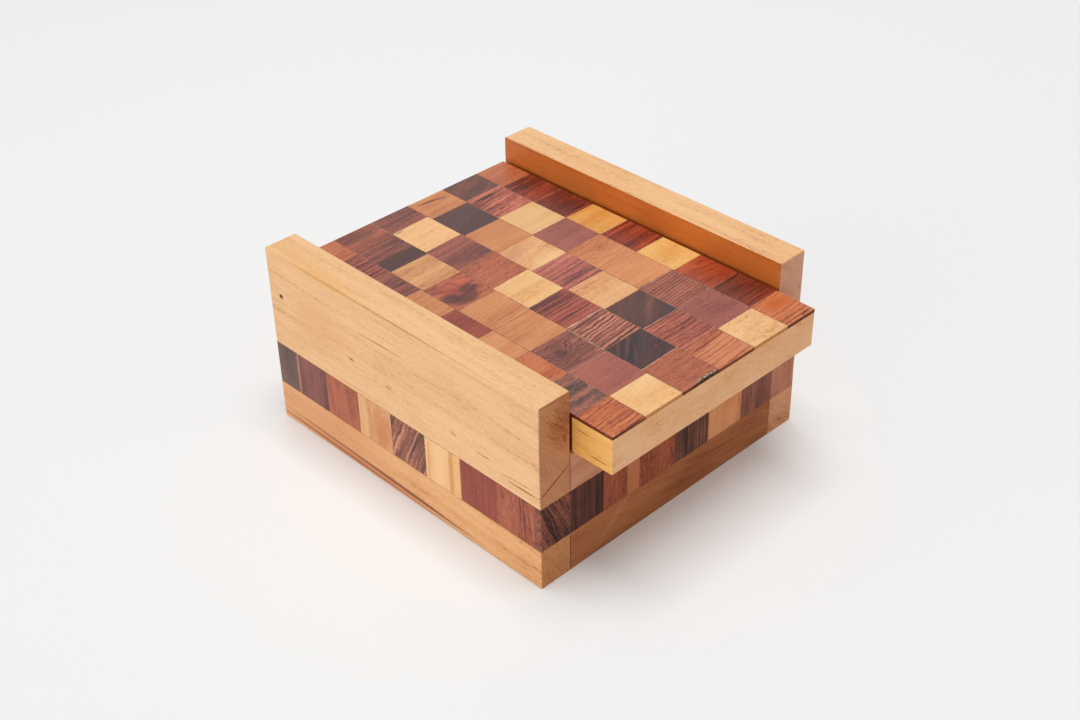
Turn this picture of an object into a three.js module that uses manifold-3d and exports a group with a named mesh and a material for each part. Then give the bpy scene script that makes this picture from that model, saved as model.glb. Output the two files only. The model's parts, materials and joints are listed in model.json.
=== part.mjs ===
import * as THREE from "three";
import { RoundedBoxGeometry } from "three/addons/geometries/RoundedBoxGeometry.js";
import { mergeVertices } from "three/addons/utils/BufferGeometryUtils.js";
import Module from "manifold-3d";

// A wooden box whose lid turns on two hidden pins between its raised side boards.
// Every panel is glued up from strips and small blocks of many woods.
// Sizes are millimetres. +X is the box's right, +Y its back and +Z is up.
// The origin is the middle of the underside.

// Box: driving dimensions
const boxWidth = 147; // outside, over both side boards
const boxDepth = 155.5; // outside, front wall to rear wall
const sideHeight = 83; // the side boards, which stand above the lid
const wallThickness = 15;
const baseStripHeight = 18;
const bandHeight = 20; // the row of blocks above the base strips
const bottomThickness = 6;
const edgeRadius = 0.5; // eased outside edges

// Rows of blocks: whole blocks between two cut-down ones
const sideWholeBlocks = 7;
const sideFrontBlock = 3; // length of the cut-down block at the front
const sideRearBlock = 12.5;
const wallWholeBlocks = 4;
const wallLeftBlock = 17.8;
const wallRightBlock = 19.2;

// Lid: driving dimensions
const coreThickness = 15.5;
const tileThickness = 1.5;
const tileWidth = 20;
const lidWholeColumns = 4; // full-width columns of tiles between two cut-down ones
const lidOverhang = 19; // past the front wall, for the fingers
const lidRecess = 11; // from the lid's top up to the top of the side boards
const lidSideGap = 1.8; // on each side, between the lid and a side board
const lidRestGap = 0.3; // between the closed lid and the walls it rests on
const lidRearInset = 0.4; // from the back of the box to the lid's rear face
const lidEdgeRadius = 0.5;

// Hinge pins: driving dimensions
const pinDiameter = 2.1;
const pinRecess = 1; // from the side board's outer face in to the pin's end
const pinReach = 14; // how far the pin goes into the lid
const pinHoleFit = 0.05; // radial, in the side board
const pinBoreFit = 0.08; // radial, in the lid, which turns on the pin
const boreEndGap = 0.5; // past the pin's inner end
const pinSwingAllowance = 0.75; // the pin lies this much nearer the lid's rear face than its underside

// Facets
const edgeSegments = 2;
const swingSegments = 10;
const roundSides = 24;
const past = 5; // how far a cutting shape runs past an outside face

// Places worked out from the dimensions above
const halfWidth = boxWidth / 2;
const halfDepth = boxDepth / 2;
const insideX = halfWidth - wallThickness;
const insideY = halfDepth - wallThickness;
const bandTop = baseStripHeight + bandHeight;
const lidThickness = coreThickness + tileThickness;
const wallHeight = sideHeight - lidRecess - lidThickness - lidRestGap;
const lidBottom = wallHeight + lidRestGap;
const lidHalfWidth = insideX - lidSideGap;
const lidDepth = lidOverhang + boxDepth - lidRearInset;
const swingRadius = coreThickness / 2 - pinSwingAllowance; // from the pin to the lid's rear face
const pinY = halfDepth - lidRearInset - swingRadius;
const pinZ = lidBottom + coreThickness / 2;

// Woods
const woods = {
  maple: { color: 0xe9bd8a, roughness: 0.45 },
  birch: { color: 0xe0b083, roughness: 0.5 },
  cherry: { color: 0xcf8e66, roughness: 0.45 },
  mahogany: { color: 0xb06f58, roughness: 0.45 },
  padauk: { color: 0xa25a40, roughness: 0.45 },
  rosewood: { color: 0x8f5a4b, roughness: 0.4 },
  purpleheart: { color: 0x95615a, roughness: 0.4 },
  ebony: { color: 0x56443f, roughness: 0.35 },
};
const sideWoods = {
  left: ["ebony", "mahogany", "padauk", "maple", "rosewood", "cherry", "mahogany", "purpleheart", "ebony"],
  right: ["padauk", "maple", "purpleheart", "cherry", "rosewood", "birch", "mahogany", "ebony", "cherry"],
};
const wallWoods = {
  front: ["ebony", "mahogany", "padauk", "rosewood", "cherry", "purpleheart"],
  rear: ["cherry", "rosewood", "maple", "mahogany", "ebony", "birch"],
};
const lidColumnWoods = ["padauk", "cherry", "mahogany", "birch", "purpleheart", "rosewood"];

const wasm = await Module();
wasm.setup();

// A closed three.js geometry as a solid that can be joined and cut.
function solid(geometry) {
  geometry.deleteAttribute("normal");
  geometry.deleteAttribute("uv");
  const merged = mergeVertices(geometry);
  return new wasm.Manifold(
    new wasm.Mesh({
      numProp: 3,
      vertProperties: merged.getAttribute("position").array,
      triVerts: new Uint32Array(merged.index.array),
    }),
  );
}

// A solid as a flat-shaded geometry.
function geometryOf(shape) {
  const { vertProperties, triVerts } = shape.getMesh();
  const geometry = new THREE.BufferGeometry();
  geometry.setAttribute("position", new THREE.BufferAttribute(vertProperties, 3));
  geometry.setIndex(new THREE.BufferAttribute(triVerts, 1));
  const flat = geometry.toNonIndexed();
  flat.computeVertexNormals();
  return flat;
}

// The block between two corners. Each corner value is kept as it is, so that neighbours
// built from the same value meet face to face.
function block(x, y, z) {
  const geometry = new THREE.BoxGeometry(1, 1, 1);
  const position = geometry.getAttribute("position");
  for (let i = 0; i < position.count; i++) {
    const [right, back, up] = [position.getX(i) > 0, position.getY(i) > 0, position.getZ(i) > 0];
    position.setXYZ(i, x[Number(right)], y[Number(back)], z[Number(up)]);
  }
  return solid(geometry);
}

// A box with eased edges, standing on z = bottom with its middle at y = middleY.
function easedBox(width, depth, height, radius, middleY, bottom) {
  const geometry = new RoundedBoxGeometry(width, depth, height, edgeSegments, radius);
  geometry.translate(0, middleY, bottom + height / 2);
  return solid(geometry);
}

// A rod along X from x = start to x = end.
function rodAlongX(radius, start, end, y, z) {
  const geometry = new THREE.CylinderGeometry(radius, radius, end - start, roundSides);
  geometry.rotateZ(Math.PI / 2);
  geometry.translate((start + end) / 2, y, z);
  return solid(geometry);
}

// Where a row of blocks is cut: a cut-down block, the whole ones, and another cut-down one.
function cutsOf(start, end, firstLength, lastLength, wholeCount) {
  const pitch = (end - lastLength - start - firstLength) / wholeCount;
  const inner = Array.from({ length: wholeCount + 1 }, (_, i) => start + firstLength + i * pitch);
  return [start, ...inner, end];
}

// The same cuts with both ends carried past the outside faces.
function openEnded(cuts) {
  return [cuts[0] - past, ...cuts.slice(1, -1), cuts[cuts.length - 1] + past];
}

function woodMesh(name, wood, shape) {
  const mesh = new THREE.Mesh(geometryOf(shape), new THREE.MeshStandardMaterial(woods[wood]));
  mesh.name = name;
  return mesh;
}

// Side boards
const body = easedBox(boxWidth, boxDepth, sideHeight, edgeRadius, 0, 0);

// The part of the box that lies in one side board: x from its inner face out through its outer face.
function sideSpan(sign) {
  return sign > 0 ? [insideX, halfWidth + past] : [-halfWidth - past, -insideX];
}

// The upper board's space. Its inner top edge is eased as well, above the lid.
function upperBoardSpace(sign) {
  const profile = new THREE.Shape();
  profile.moveTo(insideX, bandTop);
  profile.lineTo(halfWidth + past, bandTop);
  profile.lineTo(halfWidth + past, sideHeight + past);
  profile.lineTo(insideX + edgeRadius, sideHeight + past);
  profile.lineTo(insideX + edgeRadius, sideHeight);
  profile.absarc(insideX + edgeRadius, sideHeight - edgeRadius, edgeRadius, Math.PI / 2, Math.PI, false);
  profile.closePath();
  const geometry = new THREE.ExtrudeGeometry(profile, {
    depth: boxDepth + 2 * past,
    bevelEnabled: false,
    curveSegments: edgeSegments,
  });
  geometry.rotateX(Math.PI / 2);
  geometry.translate(0, halfDepth + past, 0);
  if (sign < 0) geometry.rotateZ(Math.PI);
  return solid(geometry);
}

function sideBoard(side, sign) {
  const group = new THREE.Group();
  const x = sideSpan(sign);
  const wholeLength = [-halfDepth - past, halfDepth + past];
  const baseStrip = body.intersect(block(x, wholeLength, [-past, baseStripHeight]));
  group.add(woodMesh(`${side}_base_strip`, "maple", baseStrip));

  const cuts = openEnded(cutsOf(-halfDepth, halfDepth, sideFrontBlock, sideRearBlock, sideWholeBlocks));
  sideWoods[side].forEach((wood, i) => {
    const shape = body.intersect(block(x, cuts.slice(i, i + 2), [baseStripHeight, bandTop]));
    group.add(woodMesh(`${side}_block_${i + 1}`, wood, shape));
  });

  const pinHole = rodAlongX(pinDiameter / 2 + pinHoleFit, x[0] - past, x[1] + past, pinY, pinZ);
  const upperBoard = body.intersect(upperBoardSpace(sign)).subtract(pinHole);
  group.add(woodMesh(`${side}_upper_board`, "maple", upperBoard));
  return group;
}

// Front and rear walls, between the side boards. The lid rests on them.
function crossWall(wall, sign) {
  const group = new THREE.Group();
  const x = [-insideX, insideX];
  const y = sign > 0 ? [insideY, halfDepth + past] : [-halfDepth - past, -insideY];
  const baseStrip = body.intersect(block(x, y, [-past, baseStripHeight]));
  group.add(woodMesh(`${wall}_base_strip`, "cherry", baseStrip));

  const cuts = cutsOf(-insideX, insideX, wallLeftBlock, wallRightBlock, wallWholeBlocks);
  wallWoods[wall].forEach((wood, i) => {
    const shape = body.intersect(block(cuts.slice(i, i + 2), y, [baseStripHeight, bandTop]));
    group.add(woodMesh(`${wall}_block_${i + 1}`, wood, shape));
  });

  const topStrip = body.intersect(block(x, y, [bandTop, wallHeight]));
  group.add(woodMesh(`${wall}_top_strip`, "cherry", topStrip));
  return group;
}

function bottomPanel() {
  return woodMesh("bottom_panel", "birch", block([-insideX, insideX], [-insideY, insideY], [0, bottomThickness]));
}

// Hinge pins, held in the side boards
function hingePin(side, sign) {
  const [outer, inner] = [halfWidth - pinRecess, lidHalfWidth - pinReach];
  const steel = new THREE.MeshStandardMaterial({ color: 0x8c8882, roughness: 0.4, metalness: 1 });
  const shape = new THREE.CylinderGeometry(pinDiameter / 2, pinDiameter / 2, outer - inner, roundSides);
  const pin = new THREE.Mesh(shape, steel);
  pin.name = `${side}_hinge_pin`;
  pin.rotation.z = Math.PI / 2;
  pin.position.set((sign * (outer + inner)) / 2, pinY, pinZ);
  return pin;
}

// Lid, in a frame of its own whose X axis is the line of the pins
const coreTop = coreThickness / 2;
const lidRearY = swingRadius;
const lidFrontY = lidRearY - lidDepth;
const lidBlank = easedBox(
  2 * lidHalfWidth,
  lidDepth,
  lidThickness,
  lidEdgeRadius,
  (lidFrontY + lidRearY) / 2,
  -coreTop,
);

// What is rounded off the lower rear edge, so that the lid swings clear of the rear wall.
function swingCut() {
  const [centreY, centreZ] = [lidRearY - swingRadius, -coreTop + swingRadius];
  const profile = new THREE.Shape();
  profile.moveTo(lidRearY + past, centreZ);
  profile.lineTo(lidRearY, centreZ);
  profile.absarc(centreY, centreZ, swingRadius, 0, -Math.PI / 2, true);
  profile.lineTo(centreY, -coreTop - past);
  profile.lineTo(lidRearY + past, -coreTop - past);
  profile.closePath();
  const length = 2 * (lidHalfWidth + past);
  const geometry = new THREE.ExtrudeGeometry(profile, {
    depth: length,
    bevelEnabled: false,
    curveSegments: swingSegments,
  });
  // The profile's axes become Y and Z, and its depth runs along X.
  geometry.rotateX(Math.PI / 2);
  geometry.rotateZ(Math.PI / 2);
  geometry.translate(-length / 2, 0, 0);
  return solid(geometry);
}

function lidCoreBoard() {
  const x = [-lidHalfWidth - past, lidHalfWidth + past];
  const y = [lidFrontY - past, lidRearY + past];
  const boreDepth = pinReach + boreEndGap;
  const boreRadius = pinDiameter / 2 + pinBoreFit;
  const shape = lidBlank
    .intersect(block(x, y, [-coreTop - past, coreTop]))
    .subtract(swingCut())
    .subtract(rodAlongX(boreRadius, lidHalfWidth - boreDepth, lidHalfWidth + past, 0, 0))
    .subtract(rodAlongX(boreRadius, -lidHalfWidth - past, boreDepth - lidHalfWidth, 0, 0));
  return woodMesh("lid_core_board", "maple", shape);
}

// One strip is a column of tiles from the lid's front to its rear.
function lidTileStrips() {
  const columnsHalfWidth = (lidWholeColumns * tileWidth) / 2;
  const cutDown = lidHalfWidth - columnsHalfWidth;
  const cuts = openEnded(cutsOf(-lidHalfWidth, lidHalfWidth, cutDown, cutDown, lidWholeColumns));
  const y = [lidFrontY - past, lidRearY + past];
  return lidColumnWoods.map((wood, i) => {
    const shape = lidBlank.intersect(block(cuts.slice(i, i + 2), y, [coreTop, coreTop + tileThickness + past]));
    return woodMesh(`lid_tile_strip_${i + 1}`, wood, shape);
  });
}

const box = new THREE.Group();
box.add(sideBoard("left", -1), sideBoard("right", 1));
box.add(crossWall("front", -1), crossWall("rear", 1));
box.add(bottomPanel(), hingePin("left", -1), hingePin("right", 1));

const lid = new THREE.Group();
lid.add(lidCoreBoard(), ...lidTileStrips());
lid.position.set(0, pinY, pinZ);

const hingedBox = new THREE.Group();
hingedBox.add(box, lid);

export default hingedBox;
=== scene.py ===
"""The looks of a small wooden box with a checkered lid, built round its frame.

Shapes are worked out in millimetres, with +X right, +Y back and +Z up, and become metres when
they are made into meshes. Every wooden piece is cut from a stock: a plank with its own colours
and its own run of grain. Pieces cut from one stock differ because each comes from its own place
in the plank, and some carry marks of their own, such as a knot or a dark streak.
"""

import json
import math
from dataclasses import dataclass, field, replace

import bpy
import numpy as np
from mathutils import Matrix, Vector


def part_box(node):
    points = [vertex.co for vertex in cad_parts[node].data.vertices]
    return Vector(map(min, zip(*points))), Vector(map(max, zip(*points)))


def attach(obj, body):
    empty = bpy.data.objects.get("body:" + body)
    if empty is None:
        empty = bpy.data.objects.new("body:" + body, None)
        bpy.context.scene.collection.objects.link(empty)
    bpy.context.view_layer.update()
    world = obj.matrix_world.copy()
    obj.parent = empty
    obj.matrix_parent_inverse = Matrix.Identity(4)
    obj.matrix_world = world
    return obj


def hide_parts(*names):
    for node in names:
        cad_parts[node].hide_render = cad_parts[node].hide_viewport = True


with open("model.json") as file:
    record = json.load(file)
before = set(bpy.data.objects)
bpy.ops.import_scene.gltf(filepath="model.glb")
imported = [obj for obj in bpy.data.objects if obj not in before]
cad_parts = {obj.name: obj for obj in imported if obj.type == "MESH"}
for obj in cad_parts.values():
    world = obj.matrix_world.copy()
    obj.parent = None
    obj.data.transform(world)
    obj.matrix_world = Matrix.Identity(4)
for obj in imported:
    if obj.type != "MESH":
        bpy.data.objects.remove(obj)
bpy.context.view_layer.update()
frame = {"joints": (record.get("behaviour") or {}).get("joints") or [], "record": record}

METRE = 1000.0
X, Y, Z = 0, 1, 2


def box_of(*nodes):
    """The lowest and highest corner of some frame nodes taken together, in millimetres."""
    corners = np.array([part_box(node) for node in nodes]) * METRE
    return corners[:, 0].min(0), corners[:, 1].max(0)


# Places, from the frame
BOX_LOW, BOX_HIGH = box_of("left_base_strip", "right_base_strip", "left_upper_board")
LID_LOW, LID_HIGH = box_of("lid_core_board", "lid_tile_strip_1", "lid_tile_strip_6")
LID_TOP = round(LID_HIGH[Z], 3)
HINGE = np.array(frame["joints"][0]["pos_m"]) * METRE
PIN_RADIUS = np.ptp(box_of("left_hinge_pin"), axis=0)[Z] / 2

# Edges and joints
EDGE = 0.5  # radius of the eased outside edges
TILE_EDGE = 0.4
JOINT_EDGE = 0.08  # radius that sanding leaves at a glued joint
JOINT_GAP = 0.05  # from a piece to its neighbour
LEVEL_SPREAD = 0.05  # how far one piece may lie under its neighbour
FLUSH = 0.05  # a piece's side this near its body's outside is an outside face
HOLLOW = 0.3  # how far the right side's row of blocks is sanded hollow
SWING_RADIUS = LID_HIGH[Y] - HINGE[Y]  # rounding of the lid's lower rear edge

# Glue between the lid's tiles
GLUE_WIDTH = 0.14  # usual glue line between two tiles
GLUE_DEPTH = 0.05  # from the tiles' faces down to the glue
GLUE_LIFT = 0.02  # from the lid's core up to the glue
GLUE_END = 0.15  # how far short of the lid's front and rear the long glue lines end
NOTCH = 0.9  # how far short of its front two of them end

# Hinge pins and their holes
PIN_HOLE_FIT = 0.05
PIN_BORE_FIT = 0.08
PIN_EASE = 0.15  # rounding of a pin's ends
BORE_END_GAP = 0.5
DRILL_POINT = 0.6  # depth of the cone at a bore's end, as a share of its radius
HOLE_RIM = 0.15  # rounding of a hole's rim

# Meshes
JOINT_STEPS, EDGE_STEPS, SWING_STEPS = 2, 4, 8  # rows of cells on either side of an edge
LINE_CLEARANCE = 0.3  # least distance from the grid lines of an arc or a hole to the next one
HOLE_PATCH = 3.0  # half the square of surface that is meshed round a hole
HOLE_SIDES = 32
HOLE_RINGS = 4  # rings of points from the patch's edge to the hole's rim, and as many over it
PIN_SIDES = 24
TINY = 1e-9  # least length that may divide

random = np.random.default_rng(1963)


# Camera: where the photograph was taken from

EYE = Vector((-381.5, -397.7, 412.7)) / METRE
AZIMUTH, ELEVATION, ROLL = (math.radians(angle) for angle in (-44.012, 34.835, -1.017))
LENS, SENSOR = 54.02, 36.0


def add_camera():
    ahead = Vector((-math.sin(AZIMUTH), math.cos(AZIMUTH), 0)) * math.cos(ELEVATION)
    ahead.z = -math.sin(ELEVATION)
    level = Vector((math.cos(AZIMUTH), math.sin(AZIMUTH), 0))
    right = level * math.cos(ROLL) + level.cross(ahead) * math.sin(ROLL)
    up = right.cross(ahead)
    camera = bpy.data.objects.new("camera", bpy.data.cameras.new("camera"))
    camera.data.lens, camera.data.sensor_width = LENS, SENSOR
    camera.data.clip_start, camera.data.clip_end = 0.01, 50
    camera.matrix_world = Matrix.Translation(EYE) @ Matrix((right, up, -ahead)).transposed().to_4x4()
    bpy.context.collection.objects.link(camera)
    bpy.context.scene.camera = camera


# Paint: materials written as sums


class Value:
    """A shader socket that can stand in a sum. Each operator adds one Math node."""

    def __init__(self, paint, socket):
        self.paint, self.socket = paint, socket

    def __add__(self, other):
        return self.paint.math("ADD", self, other)

    def __sub__(self, other):
        return self.paint.math("SUBTRACT", self, other)

    def __rsub__(self, other):
        return self.paint.math("SUBTRACT", other, self)

    def __mul__(self, other):
        return self.paint.math("MULTIPLY", self, other)

    def __truediv__(self, other):
        return self.paint.math("DIVIDE", self, other)

    def __pow__(self, other):
        return self.paint.math("POWER", self, other)

    __radd__, __rmul__ = __add__, __mul__


class Paint:
    """A tree of shader nodes: a material's, or the world's."""

    def __init__(self, owner):
        owner.use_nodes = True
        self.tree = owner.node_tree
        self.tree.nodes.clear()

    def node(self, kind, settings=None, sockets=None, output=0):
        """Adds a node, with its settings first and then its sockets' values or links."""
        made = self.tree.nodes.new(kind)
        for name, value in (settings or {}).items():
            if name == "stops":
                self.set_stops(made.color_ramp, value)
            else:
                setattr(made, name, value)
        for key, value in (sockets or {}).items():
            if isinstance(value, Value):
                self.tree.links.new(value.socket, made.inputs[key])
            else:
                made.inputs[key].default_value = value
        return Value(self, made.outputs[output]) if made.outputs else None

    @staticmethod
    def set_stops(ramp, stops):
        while len(ramp.elements) < len(stops):
            ramp.elements.new(1.0)
        for element, (position, colour) in zip(ramp.elements, stops):
            element.position, element.color = position, (*colour, 1.0)

    def math(self, operation, *values):
        return self.node("ShaderNodeMath", {"operation": operation}, dict(enumerate(values)))

    def vector(self, operation, *values, output=0):
        settings = {"operation": operation}
        return self.node("ShaderNodeVectorMath", settings, dict(enumerate(values)), output)

    def length(self, vector):
        return self.vector("LENGTH", vector, output="Value")

    def attribute(self, name, output="Vector"):
        return self.node("ShaderNodeAttribute", {"attribute_name": name}, output=output)

    def outputs_of(self, kind, *names, sockets=None):
        """Several outputs of one new node."""
        made = self.node(kind, None, sockets).socket.node
        return [Value(self, made.outputs[name]) for name in names]

    def parts(self, vector):
        return self.outputs_of("ShaderNodeSeparateXYZ", "X", "Y", "Z", sockets={0: vector})

    def joined(self, x, y, z):
        return self.node("ShaderNodeCombineXYZ", sockets={0: x, 1: y, 2: z})

    def smooth(self, value, start, end, low=0.0, high=1.0):
        """From low to high as the value goes from start to end, flat at both ends."""
        ends = {"From Min": start, "From Max": end, "To Min": low, "To Max": high}
        settings = {"interpolation_type": "SMOOTHSTEP"}
        return self.node("ShaderNodeMapRange", settings, {"Value": value, **ends})

    def noise(self, vector, size, detail=2.0, roughness=0.5):
        """Noise around 0.5, whose lumps measure size along each part of the vector."""
        scaled = self.vector("MULTIPLY", vector, [1 / length for length in size])
        sockets = {"Vector": scaled, "Scale": 1.0, "Detail": detail, "Roughness": roughness}
        return self.node("ShaderNodeTexNoise", None, sockets)

    def sway(self, vector, size, reach, detail=1.0):
        """Noise around 0, seldom beyond reach to either side."""
        return (self.noise(vector, size, detail) - 0.5) * (3.5 * reach)

    def mix(self, share, first, second, blend="MIX"):
        """Two colours mixed: share of the second, blended in the given way."""
        first, second = ((*c, 1.0) if isinstance(c, tuple) else c for c in (first, second))
        settings = {"data_type": "RGBA", "blend_type": blend}
        return self.node("ShaderNodeMix", settings, {0: share, 6: first, 7: second}, output=2)

    def mix_shader(self, share, first, second):
        return self.node("ShaderNodeMixShader", None, {0: share, 1: first, 2: second})

    def finish(self, shader, kind="ShaderNodeOutputMaterial"):
        self.node(kind, None, {"Surface": shader})

    def finish_principled(self, sockets):
        self.finish(self.node("ShaderNodeBsdfPrincipled", None, sockets))


def paint_of(name):
    material = bpy.data.materials.new(name)
    return material, Paint(material)


def rgb(red, green, blue):
    """A colour as on a screen, 0 to 255, made linear as shaders take it."""
    share = np.array((red, green, blue)) / 255
    linear = np.where(share <= 0.04045, share / 12.92, ((share + 0.055) / 1.055) ** 2.4)
    return tuple(float(part) for part in linear)


# Wood

SHEEN = 0.38
RELIEF = 0.06 / METRE  # how far a height of 1 stands out


@dataclass
class Stock:
    """A plank. Lengths are millimetres. Depths are shares of the way from pale to dark."""

    slot: str
    shades: tuple  # its pale, middle and dark colours, as on a screen
    base: float = 0.3  # how dark the wood is on average
    bands: float = 8.0  # width of the broad bands, across the grain
    band_depth: float = 0.3
    lines: float = 1.4  # width of the fine grain lines
    line_depth: float = 0.25
    run: float = 30.0  # how far a grain line runs before it fades
    rings: float = 0.0  # from one growth ring to the next, where rings show
    ring_depth: float = 0.3
    ring_sharp: float = 3.0
    ring_wander: float = 0.4  # how far they bunch, as a share of their distance
    waver: float = 1.2  # how far the grain wanders to the side
    ripple: float = 0.0  # how far short waves move it
    ripple_length: float = 8.0
    blotch: float = 0.1
    fibre_depth: float = 0.12
    grit: float = 0.25  # depth of the mottle, in lumps under a millimetre wide
    pore_depth: float = 0.3
    dash_depth: float = 0.0  # short dark streaks, few and far between
    pith: tuple = (60.0, 20.0)  # how far off the log's middle is, and on which side, in degrees
    end: tuple = (0.75, 0.62, 0.5)  # end grain's colour, as a share of the long grain's
    end_depth: float = 0.25
    seam: tuple = (0.30, 0.13, 0.07)  # what has gathered along its edges
    seam_width: float = 0.1
    rim: tuple = (0.45, 0.32, 0.25)  # colour of a tile's outside edge, as a share of its face's
    aged: tuple = (0.74, 0.35, 0.12)  # colour of a face painted with shade and the lid's reddish light, as a share
    roughness: float = 0.34


@dataclass
class Mark:
    """A streak, knot or patch on a piece. Its half lengths run along and across the grain and
    through the piece."""

    at: tuple  # its middle, as a place on the box
    size: tuple
    depth: float = 0.6  # how much darker, or with a colour, how much of it
    tilt: float = 0.0  # degrees from along the grain to across it
    turn: float = 0.0  # degrees from across the grain to through the piece
    bend: float = 0.0  # how far the grain flows round it
    colour: tuple = None  # as on a screen
    soft: float = 0.7  # share of its size over which it fades
    rough: float = 0.35  # how ragged its outline is


def spot_of(paint, place, mark, middle, order):
    """How far inside a mark: 1 in its middle, and 0 outside its ragged oval."""
    at = (np.array(mark.at) - middle)[order]
    rotation = (math.radians(mark.turn), 0, math.radians(mark.tilt))
    sockets = {"Vector": place, "Location": at, "Rotation": rotation, "Scale": mark.size}
    off = paint.node("ShaderNodeMapping", {"vector_type": "TEXTURE"}, sockets)
    reach = paint.length(off)
    if mark.rough:
        lumps = [max(length * 0.35, 0.3) for length in mark.size]
        reach = reach + (paint.noise(place, lumps) - 0.5) * (2 * mark.rough)
    return paint.smooth(reach, 1.0, 1.0 - mark.soft)


def figure_of(paint, stock, grain, spots):
    """How far a place is from the log's middle, and where it lies along the log, out from its
    middle and round it. The grain wanders, and flows round knots."""
    along, across, through = paint.parts(grain)
    across = across + paint.sway(grain, (55, 22, 22), stock.waver)
    if stock.ripple:
        across = across + paint.sway(grain, (stock.ripple_length, 5, 12), stock.ripple)
    for mark, spot in spots:
        if mark.bend:
            across = across + spot * mark.bend
    reach, turn = stock.pith[0], math.radians(stock.pith[1])
    from_pith = paint.joined(0.0, across + reach * math.cos(turn), through + reach * math.sin(turn))
    ring = paint.length(from_pith)
    return ring, paint.joined(along, ring, through * math.cos(turn) - across * math.sin(turn))


def rings_of(paint, stock, ring, figure):
    """Growth rings: each darkens slowly outwards, then fades fast, and more in some places than in
    others."""
    bunching = (90, stock.rings * 3, stock.rings * 8)
    uneven = paint.sway(figure, bunching, stock.rings * stock.ring_wander)
    turns = paint.math("FRACT", (ring + uneven) / stock.rings)
    late = paint.math("MINIMUM", turns / 0.7, (1 - turns) / 0.3) ** stock.ring_sharp
    patchy = paint.noise(figure, (9, stock.rings * 2, stock.rings * 6), 2)
    return late * paint.smooth(patchy, 0.3, 0.6, 0.55, 1.0)


def darkness_of(paint, stock, grain, end, spots):
    """How dark the wood is: bands, grain lines, rings, streaks, mottle, fibres and pores that are
    long along the grain and narrow across it, so a piece's end shows the same lines as dots and
    arcs. Gives the fibres and pores as well."""
    ring, figure = figure_of(paint, stock, grain, spots)
    bands = paint.smooth(paint.noise(figure, (80, stock.bands, stock.bands * 2.5)), 0.36, 0.64)
    line_size = (stock.run, stock.lines, stock.lines * 6)
    lines = paint.smooth(paint.noise(figure, line_size, 3, 0.6), 0.38, 0.62)
    fibres = paint.noise(figure, (5, 0.3, 0.4), 2, 0.6)
    pores = paint.smooth(paint.noise(figure, (2.6, 0.25, 0.3), 1), 0.60, 0.68)
    dark = (bands - 0.5) * stock.band_depth + (lines - 0.5) * stock.line_depth + stock.base
    if stock.rings:
        dark = dark + rings_of(paint, stock, ring, figure) * stock.ring_depth
    if stock.dash_depth:
        dashes = paint.smooth(paint.noise(figure, (7, 0.5, 1.5), 1), 0.68, 0.76)
        dark = dark + dashes * stock.dash_depth
    grit = paint.noise(figure, (2.2, 0.75, 0.85), 3, 0.7)
    dark = dark + paint.sway(grain, (26, 13, 18), stock.blotch, 2) + (grit - 0.5) * (2 * stock.grit)
    dark = dark + (fibres - 0.5) * (2 * stock.fibre_depth) + pores * stock.pore_depth
    for mark, spot in spots:
        if mark.colour is None and mark.depth:
            dark = dark + spot * mark.depth
    tubes = paint.noise(figure, (30, 0.5, 0.6), 2, 0.7)
    return dark + end * ((tubes - 0.5) * (4 * stock.end_depth)), fibres, pores


def gathered_of(paint, stock, place, half, seam):
    """What glue and dirt have gathered within a ragged line along a piece's edges."""
    from_sides = paint.parts(paint.vector("SUBTRACT", half, paint.vector("ABSOLUTE", place)))
    nearest = paint.math("MINIMUM", from_sides[0], from_sides[1])
    furthest = paint.math("MAXIMUM", from_sides[0], from_sides[1])
    to_edge = paint.math("MAXIMUM", nearest, paint.math("MINIMUM", furthest, from_sides[2]))
    ragged = to_edge + (paint.noise(place, (0.8, 0.8, 0.8), 2, 0.6) - 0.5) * 0.6
    return paint.smooth(ragged, stock.seam_width, stock.seam_width - 0.12) * seam


def wood(name, stock, marks, middle, order):
    """Wood as a solid, which runs through the piece from face to face, with the piece's marks, its
    end grain, what its edges have taken on, and painted shade and reddish light on faces beside
    the lid."""
    material, paint = paint_of(name)
    place, grain, half = (paint.attribute(each) for each in ("place", "grain", "half"))
    end, tone, rim, seam, aged = (
        paint.attribute(each, "Fac") for each in ("end", "tone", "rim", "seam", "aged")
    )
    spots = [(mark, spot_of(paint, place, mark, middle, order)) for mark in marks]
    dark, fibres, pores = darkness_of(paint, stock, grain, end, spots)

    stops = [(at, rgb(*shade)) for at, shade in zip((0.0, 0.5, 1.0), stock.shades)]
    colour = paint.node("ShaderNodeValToRGB", {"stops": stops}, {0: dark})
    for mark, spot in spots:
        if mark.colour is not None:
            colour = paint.mix(spot * mark.depth, colour, rgb(*mark.colour))
    colour = paint.mix(end, colour, stock.end, "MULTIPLY")
    sockets = {0: colour, "Scale": tone}
    colour = paint.node("ShaderNodeVectorMath", {"operation": "SCALE"}, sockets)
    gathered = gathered_of(paint, stock, place, half, seam)
    colour = paint.mix(gathered, colour, stock.seam)
    colour = paint.mix(rim, colour, stock.rim, "MULTIPLY")
    # Painted shade: faces beside the lid are darkened and reddened, standing for its shade and reddish
    # light.
    colour = paint.mix(aged, colour, stock.aged, "MULTIPLY")

    wear = paint.noise(place, (14, 9, 9), 3)
    rough = stock.roughness + (wear - 0.5) * 0.16 + pores * 0.12 + end * 0.1
    height = fibres * 0.4 - pores * 0.9 - gathered * 1.2 + wear * 2.0
    sockets = {"Strength": 0.4, "Distance": RELIEF, "Height": height}
    bump = paint.node("ShaderNodeBump", None, sockets)
    looks = {"Base Color": colour, "Roughness": rough, "Normal": bump, "Specular IOR Level": SHEEN}
    paint.finish_principled(looks)
    return material


# Stocks of wood

DARK_SEAM, PALE_SEAM = rgb(118, 62, 40), rgb(190, 132, 106)
FAR_PITH = (1500, 10)  # so far off that the rings are straight lines
STOCKS = {}


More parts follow.
